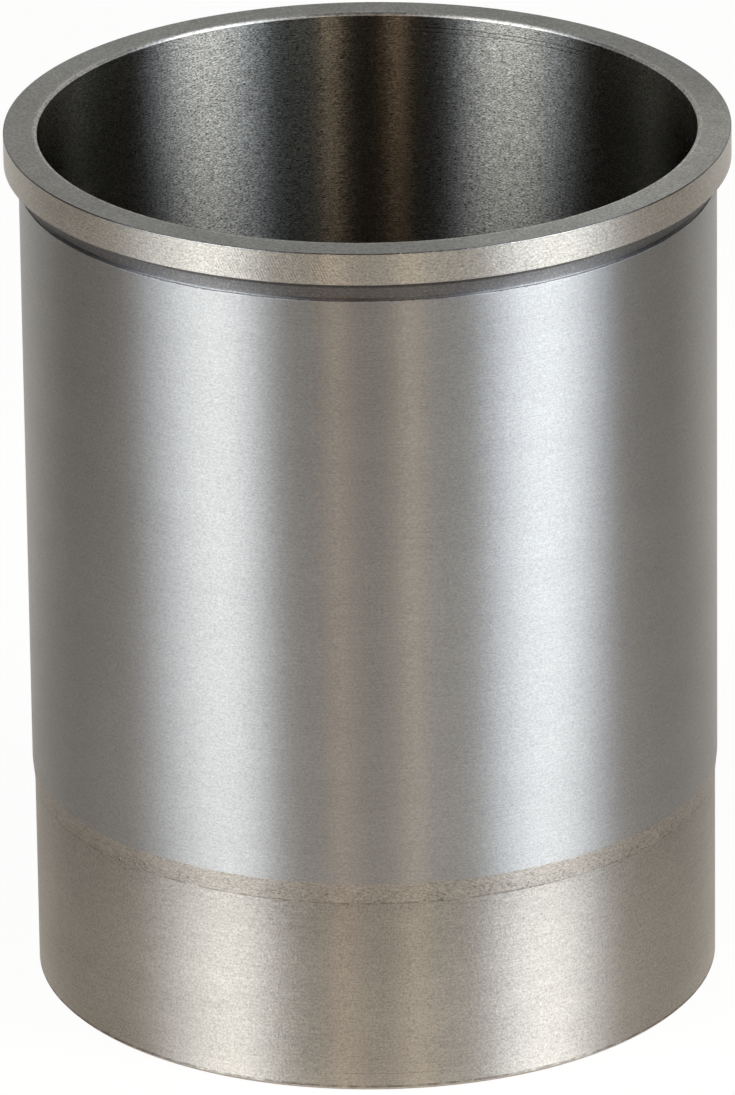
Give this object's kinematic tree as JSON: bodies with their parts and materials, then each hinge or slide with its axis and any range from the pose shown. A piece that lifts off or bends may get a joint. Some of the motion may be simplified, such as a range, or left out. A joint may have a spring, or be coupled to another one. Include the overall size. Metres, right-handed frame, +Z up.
{
  "type": "cylinder liner",
  "caption": "One-piece flanged dry liner: thin sleeve with a relief groove under its flange, a ground barrel, a lead-in taper and a slightly smaller lower pilot.",
  "frame": {"origin": "centre of the lower end face, on the bore's axis", "axes": "+Z up the bore's axis, from the lower end to the flange"},
  "size_m": [0.1102, 0.1102, 0.1366],
  "materials": {
    "machined_iron": "bare machined metal: ground barrel, fine-turned flange and pilot, bored inside"
  },
  "bodies": {
    "root": {"cylinder_liner": "machined_iron"}
  },
  "joints": []
}
